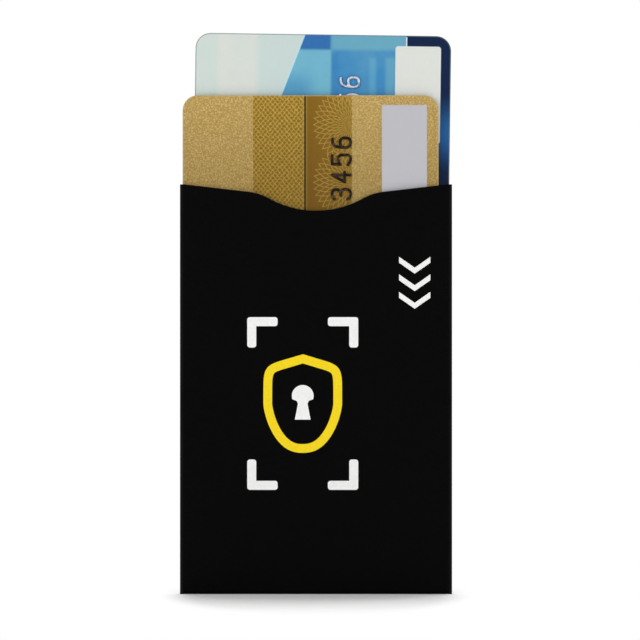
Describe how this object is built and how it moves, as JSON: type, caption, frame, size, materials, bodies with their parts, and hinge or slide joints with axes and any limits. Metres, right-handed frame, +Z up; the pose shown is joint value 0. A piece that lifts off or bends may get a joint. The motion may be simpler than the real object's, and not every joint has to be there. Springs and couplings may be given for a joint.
{
  "type": "rfid card sleeve",
  "caption": "Folded black foil-lined card sleeve with an open top and a thumb notch, holding embossed chip cards that slide in and out.",
  "frame": {"origin": "middle of the sleeve's bottom edge, on the surface it stands on", "axes": "+Z up out of the mouth, -Y out of the notched front panel, +X to the viewer's right"},
  "size_m": [0.0574, 0.0038, 0.1184],
  "materials": {
    "black_sheet": "matte printed",
    "shield_foil": "foil",
    "inner_liner": "smooth",
    "adhesive": "dried glue",
    "front_card_face": "metallic gold print under clear film",
    "front_card_back": "gold print under clear film",
    "front_card_digits": "tipped embossing",
    "rear_card_face": "blue print under clear film",
    "rear_card_back": "blue print under clear film",
    "rear_card_digits": "silver tipped embossing",
    "card_core": "white core",
    "card_inlay": "white inlay",
    "antenna_metal": "etched",
    "magnetic_stripe": "dark oxide tape",
    "signature_panel": "matte writing field",
    "chip_carrier": "glass epoxy",
    "chip_contacts": "gold plated",
    "chip_resin": "potting resin"
  },
  "bodies": {
    "sleeve": {"front_panel": "black_sheet", "back_panel": "black_sheet", "bottom_fold": "black_sheet", "left_side_wall": "black_sheet", "left_front_crease": "black_sheet", "left_back_crease": "black_sheet", "left_glue_flap": "black_sheet", "right_side_wall": "black_sheet", "right_front_crease": "black_sheet", "right_back_crease": "black_sheet", "right_glue_flap": "black_sheet", "foil_layer": "shield_foil", "inner_liner": "inner_liner", "left_glue_strip": "adhesive", "right_glue_strip": "adhesive"},
    "front_card": {"front_card_front_overlay": "front_card_face", "front_card_front_core": "card_core", "front_card_inlay": "card_inlay", "front_card_antenna_coil": "antenna_metal", "front_card_back_core": "card_core", "front_card_back_overlay": "front_card_back", "front_card_magnetic_stripe": "magnetic_stripe", "front_card_signature_panel": "signature_panel", "front_card_chip_carrier": "chip_carrier", "front_card_chip_contacts": "chip_contacts", "front_card_chip_encapsulation": "chip_resin", "front_card_raised_digits": "front_card_digits"},
    "rear_card": {"rear_card_front_overlay": "rear_card_face", "rear_card_front_core": "card_core", "rear_card_inlay": "card_inlay", "rear_card_antenna_coil": "antenna_metal", "rear_card_back_core": "card_core", "rear_card_back_overlay": "rear_card_back", "rear_card_magnetic_stripe": "magnetic_stripe", "rear_card_signature_panel": "signature_panel", "rear_card_chip_carrier": "chip_carrier", "rear_card_chip_contacts": "chip_contacts", "rear_card_chip_encapsulation": "chip_resin", "rear_card_raised_digits": "rear_card_digits"}
  },
  "joints": [
    {"name": "front_card_slide", "type": "slide", "parent": "sleeve", "child": "front_card", "axis": [0, 0, 1], "range_m": [-0.0186, 0.057]},
    {"name": "rear_card_slide", "type": "slide", "parent": "sleeve", "child": "rear_card", "axis": [0.014, 0, 0.9999], "range_m": [-0.0313, 0.044]}
  ]
}
